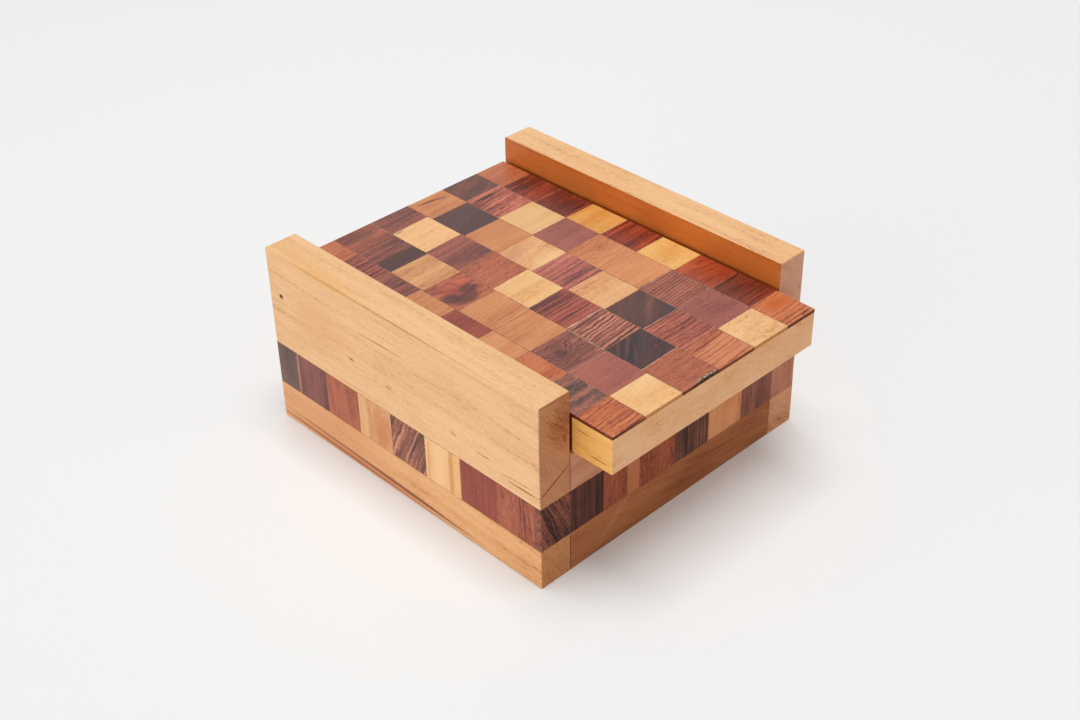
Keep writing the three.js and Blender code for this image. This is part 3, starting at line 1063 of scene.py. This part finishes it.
def add_box_pieces():
    """Every strip, block and board of the box, each in its node's place."""
    for node, stock_name in BOX_STOCKS.items():
        lean = 3 if "block" in node else 0.5
        cut = Cut(
            grain_of(node), marks=BOX_MARKS.get(node, ()), tone=TONES.get(node, 1.0),
            slant=SLANTS.get(node, random.uniform(-lean, lean)),
        )
        if node.endswith("upper_board"):
            radius = PIN_RADIUS + PIN_HOLE_FIT
            cut.bores = ((False, radius, None), (True, radius, None))
            # Painted shade: the board's inner face, beside the lid.
            cut.aged = ((X, node.startswith("left")),)
        if node.startswith("right_block"):
            cut.bend, cut.spacing = hollowed, 2.5
        wooden_piece(
            f"{node}_wood", "box", [node], RECORD_SLOTS[node], stock_name, *box_of(node),
            (BOX_LOW, BOX_HIGH), cut,
        )


add_box_pieces()


# Lid

GAP_SHADE = (92, 32, 12)  # painted shade: the dark mouth of the gap beside the lid
CORE_MARKS = (
    Mark((LID_LOW[X], -90, 58.2), (6, 3, 0.35), 1.2, rough=0.2),
    Mark((LID_LOW[X], -83, 66.5), (5, 3, 0.3), 0.6),
    # Painted shade: the lid's left side is painted dark where it lies deep in the gap beside the left
    # board.
    Mark((LID_LOW[X], -73.8, 62.7), (3.6, 0.4, 60), 0.95, colour=GAP_SHADE, soft=0.15, rough=0.0),
    Mark((LID_LOW[X], -62, 62.7), (15, 0.4, 60), 0.4, colour=GAP_SHADE, soft=1, rough=0.2),
)


def add_core():
    """The lid's core board, with a bore for each pin that is a little deeper than the pin's end."""
    node = "lid_core_board"
    left_reach = box_of("left_hinge_pin")[1][X] - LID_LOW[X]
    right_reach = LID_HIGH[X] - box_of("right_hinge_pin")[0][X]
    radius, depth = PIN_RADIUS + PIN_BORE_FIT, max(left_reach, right_reach) + BORE_END_GAP
    cut = Cut(
        FLAT_ALONG, easing=eased_core, seam=0.2, marks=CORE_MARKS,
        bores=((False, radius, depth), (True, radius, depth)),
    )
    wooden_piece(
        "lid_core_wood", "lid", [node], RECORD_SLOTS[node], "core", *box_of(node),
        (LID_LOW, LID_HIGH), cut,
    )


add_core()


# Lid tiles, each named by its row from the front and its column from the left

TILE_STOCKS = [
    names.split()
    for names in (
        "orange maple mahogany tan_red speckled_maple half_orange",
        "streaked purple ebony rosewood purple deep_red",
        "plain_orange swirled zebra soft_ebony fine_rosewood red",
        "cherry cherry wine tan cherry gold",
        "wine_block lined_cherry maple pink_rosewood curled_cherry deep_red",
        "lined_cherry arched mahogany tan purple yellow",
        "brown tan brown cherry maple deep_red",
        "rosewood brown pale_maple grey_ebony rosewood deep_red",
        "plain_orange red_brown brown cherry brown_ebony plain_orange",
    )
]
TILE_TONES = {
    (1, 3): 0.93, (1, 4): 0.95, (2, 1): 1.08, (2, 2): 1.18, (2, 4): 0.92, (2, 6): 0.93,
    (3, 3): 0.96, (3, 5): 0.92, (3, 6): 0.93, (4, 1): 0.94, (4, 2): 0.95, (4, 5): 0.98,
    (4, 6): 0.96, (5, 2): 0.94, (5, 4): 1.12, (5, 6): 1.48, (6, 1): 0.87, (6, 2): 1.16,
    (6, 4): 1.01, (6, 6): 0.87, (7, 1): 1.17, (7, 2): 0.93, (7, 3): 1.3, (7, 4): 0.93,
    (7, 5): 0.91, (8, 1): 0.88, (8, 2): 1.08, (8, 3): 1.04, (8, 6): 1.25, (9, 1): 0.92,
    (9, 2): 1.15, (9, 4): 0.92, (9, 6): 0.86,
}

# Where each column is cut into tiles, front to rear. They were cut by hand, so they wander.
COLUMN_CUTS = [
    (-79.2, -58.9, -38.8, -18.9, 2.2, 22.7, 41.5, 61.0),
    (-79.2, -59.0, -39.0, -19.0, 1.0, 21.0, 41.0, 61.0),
    (-76.4, -58.0, -38.0, -17.3, 3.0, 23.1, 42.7, 63.7),
    (-79.2, -59.0, -39.0, -19.0, 1.0, 21.2, 41.0, 61.0),
    (-78.8, -58.5, -38.3, -19.0, 1.8, 21.2, 41.5, 62.0),
    (-78.2, -58.5, -39.2, -18.7, 1.2, 21.3, 40.3, 60.0),
]
SLOPED_COLUMN, SLOPE, LEVEL_CUT = 3, 0.03, 3
NOTCHED_COLUMNS = (2, 5)

# Wide glue lines to the right of a tile and behind it
WIDE_RIGHT = {(1, 2): 0.3, (2, 1): 0.3, (2, 5): 0.3, (3, 2): 0.55, (3, 5): 0.3, (9, 2): 0.4}
WIDE_BEHIND = {(1, 3): 0.3, (2, 2): 0.25, (2, 4): 0.25, (3, 3): 0.75, (3, 5): 0.3}

TILE_SLANTS = {
    (2, 3): 36, (3, 4): 32, (8, 4): 30, (9, 5): 25, (1, 6): 4, (6, 4): 12, (6, 3): 8, (3, 6): -10,
    (6, 2): -12,
}

RED_SPOT, PALE_CHIP, OLIVE = (150, 48, 34), (236, 212, 190), (132, 112, 84)
SMUDGE, SPECK, KNOT = (204, 156, 100), (220, 204, 172), (64, 34, 32)
FILLER_SPECKS = (
    (-11, -96.2, 72), (-9.6, -95.7, 72), (-8.7, -96.6, 71.5), (-7.2, -96, 72), (-5.6, -95.6, 72),
    (-5, -96.7, 71.4), (-3.6, -96.1, 72), (-2.3, -96.7, 71.5), (-1.6, -95.9, 72),
)


def on_top(x, y, *size_and_depth, **looks):
    """A mark on the lid's top face."""
    return Mark((x, y, LID_TOP), *size_and_depth, **looks)


TILE_MARKS = {
    (1, 1): [
        on_top(-55.6, -96.2, (0.5, 0.35, 1), 0.9, colour=PALE_CHIP),
        on_top(-48, -96.2, (10, 0.6, 2), 0.5),
    ],
    (1, 3): [
        Mark((-6, -96.75, 71.8), (7.5, 1.7, 1.6), 0.9, colour=OLIVE, soft=0.4, rough=0.7),
        Mark((-6, -96.75, 71.4), (7, 1.3, 1.1), 0.6, colour=(56, 48, 40), soft=0.5, rough=1.8),
        *(Mark(at, (0.6, 0.45, 0.4), 0.9, colour=SPECK) for at in FILLER_SPECKS),
    ],
    (1, 4): [
        on_top(10, -82.5, (12, 0.8, 2), 0.45, tilt=2),
        on_top(14, -90, (7, 0.7, 2), 0.3, tilt=6),
    ],
    (1, 5): [
        on_top(31, -87, (9, 6, 3), 0.3, colour=SMUDGE, soft=1, rough=1.2),
        on_top(25, -93, (5, 1.6, 2), 0.5, colour=SMUDGE, rough=1.4),
        on_top(34, -94, (5, 1.2, 2), 0.5, colour=SMUDGE, rough=1.4),
        on_top(24.5, -79.5, (0.7, 0.5, 1), 0.9, colour=PALE_CHIP),
        on_top(30, -79.4, (0.6, 0.35, 1), 0.8, colour=(60, 40, 30)),
    ],
    (1, 6): [
        on_top(49, -84, (13, 6, 3), 0.9, colour=(196, 98, 44), soft=0.9),
        on_top(52, -95.4, (4, 1.2, 2), 0.7, rough=1.2),
    ],
    (2, 1): [
        on_top(-46, -66, (5, 2.6, 3), 0.4, soft=1),
        on_top(-49, -74, (6, 1.8, 3), 0.3, tilt=10, soft=1),
    ],
    (2, 3): [
        on_top(-12.5, -62.5, (13, 1.2, 3), 0.65, tilt=38, colour=(120, 72, 56), soft=1, rough=0.4),
        on_top(-16.5, -61.5, (8, 0.9, 3), 0.65, tilt=44, colour=(120, 70, 54), soft=1, rough=0.4),
        on_top(-13.5, -67.5, (10, 0.8, 3), 0.5, tilt=48, colour=(110, 66, 54), soft=1, rough=0.4),
        on_top(-8, -66, (12, 2.2, 3), 0.6, tilt=52, colour=(56, 52, 58), soft=1, rough=0.4),
        on_top(-4.5, -70, (1.2, 0.7, 2), 0.8, colour=RED_SPOT),
    ],
    (2, 6): [
        on_top(48, -62, (14, 3, 3), 0.5, colour=(92, 58, 42), soft=1),
        *(on_top(48, y, (11, 1.2, 3), 0.3, bend=0.4, soft=1) for y in (-60, -66, -71)),
    ],
    (3, 2): [
        on_top(-33, -49, (7, 5, 6), 0.2, bend=5, soft=0.9),
        on_top(-25, -44, (5, 2.5, 6), 0.0, bend=-2),
        on_top(-30, -57, (12, 1.0, 4), 0.5),
    ],
    (3, 3): [on_top(-10, -40.5, (13, 2.4, 4), 0.3, soft=1)],
    (3, 4): [
        on_top(14, -49.5, (16, 2.8, 4), 0.7, tilt=40, colour=(132, 80, 62), soft=1, rough=0.3),
        on_top(17, -56.5, (11, 4, 4), 0.6, tilt=40, colour=(60, 52, 60), soft=1, rough=0.3),
    ],
    (3, 5): [on_top(30, y, (12, 0.35, 3), -0.3, soft=1) for y in (-53.5, -52, -41.5)],
    (3, 6): [
        on_top(45, -40, (9, 6, 4), 0.55, colour=(206, 106, 66), soft=1),
        # Painted shade and reflection: darker and more orange near the right board, whose shade and
        # orange face show on the tile.
        on_top(53, -54, (8, 7, 4), 0.4, colour=(150, 50, 14), soft=1),
    ],
    (4, 3): [
        on_top(-10, -19.5, (14, 2.2, 4), 0.45, soft=0.9),
        on_top(-10, -22.9, (14, 0.4, 4), 0.6),
        on_top(-10, -32.3, (14, 0.45, 4), 0.7, rough=0.2),
        on_top(-10, -27.5, (13, 0.35, 4), 0.35),
    ],
    (4, 5): [on_top(27, -27, (9, 3, 5), 0.12, tilt=-30, soft=1)],
    (4, 6): [on_top(48, -30, (7, 6, 4), 0.4, colour=(224, 164, 78), soft=1)],
    (5, 4): [
        on_top(8.5, -18.6, (0.6, 0.5, 1), 1.0, rough=0.1),
        on_top(10, -14, (12, 3, 3), 0.15, soft=1),
    ],
    (5, 5): [
        on_top(33, -6, (6, 5, 9), 0.1, bend=6, soft=1),
        on_top(24, -10, (8, 0.5, 4), 0.35, tilt=-28),
    ],
    (6, 2): [
        on_top(-31, 8.5, (13, 10, 8), 0.0, bend=4, soft=1),
        on_top(-31, 11, (14, 10, 5), 0.65, colour=(166, 68, 48), soft=1, rough=0.3),
        on_top(-36.4, 8.8, (6, 5, 4), 0.8, colour=KNOT, soft=0.6, rough=0.2),
        on_top(-26.4, 9.8, (6, 4.8, 4), 0.8, colour=KNOT, soft=0.6, rough=0.2),
        on_top(-31.5, 5, (8.5, 4.8, 5), 0.8, colour=KNOT, soft=0.6, rough=0.2),
        on_top(-37, 17.5, (7, 4, 4), 0.6, colour=(118, 58, 52), soft=1),
        on_top(-25, 17, (9, 2, 4), 0.6, colour=(206, 108, 76), tilt=-24, soft=1),
    ],
    (6, 4): [
        on_top(12.5, 2, (17, 11, 6), 0.95, tilt=18, colour=(241, 194, 136), soft=0.9),
        on_top(4, 16, (15, 7, 6), 0.8, tilt=24, colour=(208, 148, 104), soft=1),
    ],
    (7, 1): [on_top(-44, 31, (9, 2, 4), 0.4, soft=1)],
    (7, 6): [
        on_top(50, 29, (10, 4, 4), 0.7, colour=(56, 22, 24), soft=1),
        on_top(50, 23.5, (9, 0.8, 4), 0.3),
    ],
    (8, 1): [on_top(-44, y, (9, 0.4, 3), -0.5) for y in (46.5, 48.5, 51)],
    (8, 2): [
        on_top(-30, 56, (12, 0.6, 3), -0.6),
        on_top(-30, 45.8, (30, 5.8, 5), 0.85, colour=(62, 37, 35), soft=0.35, rough=0.15),
    ],
    (8, 3): [on_top(-17, 62.6, (3.5, 0.6, 2), 0.8, colour=(96, 80, 50))],
    (8, 5): [
        on_top(30, 58.5, (12, 1.2, 4), 0.45, soft=1),
        on_top(30, 52, (12, 2.5, 4), -0.2, soft=1),
        on_top(27, 46.5, (3, 1, 3), 0.35),
    ],
    (8, 6): [on_top(48, y, (10, 1.4, 4), 0.25, soft=1) for y in (57, 53)],
    (9, 2): [on_top(-30, 68.5, (9, 4, 5), 0.45, colour=(98, 70, 50), soft=1)],
    (9, 4): [
        on_top(9, 73, (10, 0.9, 3), 0.7, tilt=-8),
        on_top(15, 71.5, (3.5, 2, 3), 0.6, colour=(156, 92, 78)),
    ],
    (9, 5): [on_top(33, 71, (8, 4, 3), 0.4, colour=(140, 66, 54), soft=1, rough=1)],
}


def slope_of(column, row):
    """Slope of the cut behind a tile, from its left end to its right: 0 at the lid's own edges."""
    at_lid_edge = row in (0, len(TILE_STOCKS))
    return 0.0 if column != SLOPED_COLUMN or at_lid_edge or row == LEVEL_CUT else SLOPE


def sloped(front_slope, rear_slope):
    def bend(corners, low, high):
        """Tilts a tile's front and rear edges by their own slopes."""
        share = (corners[:, Y] - low[Y]) / (high[Y] - low[Y])
        slope = front_slope * (1 - share) + rear_slope * share
        corners = corners.copy()
        corners[:, Y] += slope * (corners[:, X] - (low[X] + high[X]) / 2)
        return corners
    return bend


TORN_TILE = (1, 3)
TORN_MIDDLE, TORN_REACH = 4, 6.3  # the broken stretch: from the tile's middle, and half its length
TORN_BEHIND = 0.7  # how far behind the edge it is felt
TORN_GRAIN = 0.35  # from one grain of the break to the next


def torn(bend):
    def tear(corners, low, high):
        """Breaks a stretch of a tile's front edge away in grains of up to half a millimetre."""
        corners = bend(corners, low, high)
        middle = (low[X] + high[X]) / 2 + TORN_MIDDLE
        window = np.clip(1.2 - ((corners[:, X] - middle) / TORN_REACH) ** 4, 0, 1)
        near = np.clip(1 - (corners[:, Y] - low[Y]) / TORN_BEHIND, 0, 1)
        depth = window * near * random.uniform(0.05, 0.5, len(corners))
        corners[:, Y] += depth
        corners[:, Z] -= depth * 0.4 * (corners[:, Z] > (low[Z] + high[Z]) / 2)
        return corners
    return tear


def add_tiles():
    """The 54 tiles, each cut out of its column's strip."""
    for row, names in enumerate(TILE_STOCKS, 1):
        for column, stock_name in enumerate(names, 1):
            number, strip = (row, column), f"lid_tile_strip_{column}"
            low, high = box_of(strip)
            cuts = (low[Y], *COLUMN_CUTS[column - 1], high[Y])
            low[Y], high[Y] = cuts[row - 1], cuts[row]
            gaps = {
                (X, False): WIDE_RIGHT.get((row, column - 1), GLUE_WIDTH) / 2,
                (X, True): WIDE_RIGHT.get(number, GLUE_WIDTH) / 2,
                (Y, False): WIDE_BEHIND.get((row - 1, column), GLUE_WIDTH) / 2,
                (Y, True): WIDE_BEHIND.get(number, GLUE_WIDTH) / 2,
            }
            cut = Cut(
                FLAT_ACROSS, gaps=gaps, spacing=5, edge=TILE_EDGE, seam=1.0, rim=(X, Y),
                slant=TILE_SLANTS.get(number, random.uniform(1, 5)),
                tone=TILE_TONES.get(number, 1.0),
                marks=tuple(TILE_MARKS.get(number, ())),
                bend=sloped(slope_of(column, row - 1), slope_of(column, row)),
            )
            if number == TORN_TILE:
                cut.bend = torn(cut.bend)
                cut.more_lines = {X: np.arange(low[X] + 7, high[X] - 0.6, TORN_GRAIN)}
            wooden_piece(
                f"lid_tile_row_{row}_column_{column}", "lid", [strip], STOCKS[stock_name].slot,
                stock_name, low, high, (LID_LOW, LID_HIGH), cut,
            )


add_tiles()


# Glue between the tiles


def glue_boxes():
    """A plain box along each joint, its top a little under the tiles' faces. Two of the long ones
    end short of the lid's front, which leaves small dark notches there."""
    bottom, top = box_of("lid_tile_strip_1")[0][Z] + GLUE_LIFT, LID_HIGH[Z] - GLUE_DEPTH
    boxes = []

    def add(left, right, front, rear, slope=0.0, pale=0.0):
        boxes.append(((left, front, bottom), (right, rear, top), slope, pale))

    last = len(COLUMN_CUTS)
    for column, cuts in enumerate(COLUMN_CUTS, 1):
        low, high = box_of(f"lid_tile_strip_{column}")
        ends = (low[Y], *cuts, high[Y])
        for row in range(1, len(ends)):
            wide = WIDE_RIGHT.get((row, column))
            if wide:
                front, rear = np.clip(ends[row - 1 : row + 1], low[Y] + EDGE, high[Y] - EDGE)
                add(high[X] - wide / 2, high[X] + wide / 2, front, rear, pale=1.0)
            if row <= len(cuts):
                width = WIDE_BEHIND.get((row, column), GLUE_WIDTH)
                left, right = low[X] + EDGE * (column == 1), high[X] - EDGE * (column == last)
                front, rear = ends[row] - width / 2, ends[row] + width / 2
                add(left, right, front, rear, slope_of(column, row), float(width > GLUE_WIDTH))
        if column < last:
            start = low[Y] + (NOTCH if column in NOTCHED_COLUMNS else GLUE_END)
            stop = high[Y] - GLUE_END
            add(high[X] - GLUE_WIDTH / 2, high[X] + GLUE_WIDTH / 2, start, stop)
    return (np.array(each, float) for each in zip(*boxes))


def add_glue():
    """Dull glue, pale where it is thick."""
    material, paint = paint_of("glue")
    place = paint.node("ShaderNodeTexCoord", output="Object")
    patches = paint.smooth(paint.noise(place, (0.004, 0.004, 0.004), 3, 0.6), 0.35, 0.65)
    thin = paint.mix(patches, rgb(196, 140, 112), rgb(150, 90, 64))
    thick = paint.mix(patches, rgb(236, 204, 178), rgb(186, 130, 104))
    colour = paint.mix(paint.attribute("pale", "Fac"), thin, thick)
    roughness = 0.4 + patches * 0.2
    paint.finish_principled(
        {"Base Color": colour, "Roughness": roughness, "Specular IOR Level": SHEEN}
    )
    lows, highs, slopes, pales = glue_boxes()
    mesh = mesh_of("lid_glue", *slabs(lows, highs, slopes))
    write(mesh, "pale", np.repeat(pales, 8))
    strips = [f"lid_tile_strip_{column}" for column in range(1, len(COLUMN_CUTS) + 1)]
    add_piece("lid_glue", mesh, material, "lid", strips)


add_glue()


# Pins


def add_pins():
    """Cut nails: rods with faintly eased ends, dull and darker in patches."""
    material, paint = paint_of("pin_steel")
    place = paint.node("ShaderNodeTexCoord", output="Object")
    patches = paint.smooth(paint.noise(place, (0.0012, 0.0012, 0.0012), 3), 0.4, 0.65)
    colour = paint.mix(patches, (0.36, 0.33, 0.30), (0.14, 0.08, 0.05))
    roughness = 0.4 + patches * 0.3
    paint.finish_principled({"Base Color": colour, "Metallic": 1.0, "Roughness": roughness})
    for side in ("left", "right"):
        node = f"{side}_hinge_pin"
        low, high = box_of(node)
        turn = np.linspace(0, math.pi / 2, 5)
        in_from_end, in_from_side = PIN_EASE * (1 - np.cos(turn)), PIN_EASE * (1 - np.sin(turn))
        ends = np.stack([in_from_end, PIN_RADIUS - in_from_side], -1)
        start, stop = ends + (low[X], 0), ends[::-1] * (-1, 1) + (high[X], 0)
        profile = np.concatenate([[(low[X], 0.0)], start, stop, [(high[X], 0.0)]])[::-1]
        corners, cells = lathed(profile, PIN_SIDES)
        mesh = mesh_of(f"{node}_steel", corners, cells, normals_of(corners, cells))
        add_piece(f"{node}_steel", mesh, material, "box", [node])


add_pins()


# Studio: pale floor and surroundings, a soft lamp overhead and a bright screen low on the left

# Painted pool of light: the floor's own colour is paler near the box than far off.
FLOOR_NEAR, FLOOR_FAR = (0.911, 0.917, 0.919), (0.875, 0.875, 0.879)
FLOOR_GLOW = 0.12  # how much of what the camera sees of the floor is its own paleness
FLOOR_REACH = 4.0  # metres to each side
SQUARE = ((-1, -1), (1, -1), (1, 1), (-1, 1))
AROUND = (0.88, 0.88, 0.885)
AMBIENT = 0.33
SCREEN_TOWARDS, SCREEN_LEVEL = Vector((-0.98, 0.17, 0.1)).normalized(), 3.9
KEY_HEIGHT, KEY_WIDTH, KEY_DEPTH, KEY_POWER = 3.0, 1.2, 1.9, 57.5


def add_floor():
    """In reflections the floor is a painted glow, bright on the left and dark in front. It can't
    be seen from below."""
    material, paint = paint_of("floor")
    place = paint.node("ShaderNodeTexCoord", output="Object")
    # Painted pool of light: paler near the box.
    away = paint.smooth(paint.length(place), 0.15, 1.1)
    level = paint.mix(away, FLOOR_NEAR, FLOOR_FAR)
    matt = paint.node("ShaderNodeBsdfDiffuse", None, {"Color": level})
    seen, mirrored = paint.outputs_of("ShaderNodeLightPath", "Is Camera Ray", "Is Glossy Ray")
    x, y, _ = paint.parts(place)
    # Painted reflection: what glossy rays see of the floor glows, bright on the left and dark in front
    # of the box.
    side = paint.smooth(y - x, -0.05, 0.07, 0.12, 0.6)
    reflected = paint.node("ShaderNodeEmission", None, {"Color": (1, 1, 1, 1), "Strength": side})
    glow = paint.node("ShaderNodeEmission", None, {"Color": level})
    shown = paint.mix_shader(seen * FLOOR_GLOW, matt, glow)
    shown = paint.mix_shader(mirrored, shown, reflected)
    behind = paint.node("ShaderNodeNewGeometry", output="Backfacing")
    clear = paint.node("ShaderNodeBsdfTransparent")
    paint.finish(paint.mix_shader(behind, shown, clear))
    mesh = bpy.data.meshes.new("floor")
    mesh.from_pydata([(x * FLOOR_REACH, y * FLOOR_REACH, 0) for x, y in SQUARE], [], [(0, 1, 2, 3)])
    mesh.materials.append(material)
    floor = bpy.data.objects.new("floor", mesh)
    bpy.context.collection.objects.link(floor)


def add_surroundings():
    """An even soft light from all round, and more of it from low on the left."""
    world = bpy.data.worlds.new("studio")
    bpy.context.scene.world = world
    paint = Paint(world)
    towards = paint.node("ShaderNodeTexCoord", output="Generated")
    _, _, height = paint.parts(towards)
    near = paint.vector("DOT_PRODUCT", towards, SCREEN_TOWARDS, output="Value")
    screen = paint.smooth(near, 0.55, 1.0)
    light = AMBIENT + screen * paint.smooth(height, 0.4, 0.1) * SCREEN_LEVEL
    kinds = ("Is Camera Ray", "Is Glossy Ray", "Is Transmission Ray")
    seen, mirrored, refracted = paint.outputs_of("ShaderNodeLightPath", *kinds)
    looked_at = paint.math("MINIMUM", seen + mirrored + refracted, 1.0)
    colour = paint.mix(looked_at, paint.joined(light, light, light), AROUND)
    background = paint.node("ShaderNodeBackground", None, {"Color": colour})
    paint.finish(background, "ShaderNodeOutputWorld")


def add_key():
    """The overhead lamp: a rectangle, its long sides along Y, facing down."""
    lamp = bpy.data.lights.new("key", "AREA")
    lamp.shape, lamp.size, lamp.size_y, lamp.energy = "RECTANGLE", KEY_WIDTH, KEY_DEPTH, KEY_POWER
    key = bpy.data.objects.new("key", lamp)
    key.matrix_world = Matrix.Translation((0, 0, KEY_HEIGHT))
    key.visible_camera = False
    bpy.context.collection.objects.link(key)


add_floor()
add_surroundings()
add_key()
add_camera()
bpy.context.scene.view_settings.view_transform = "Standard"
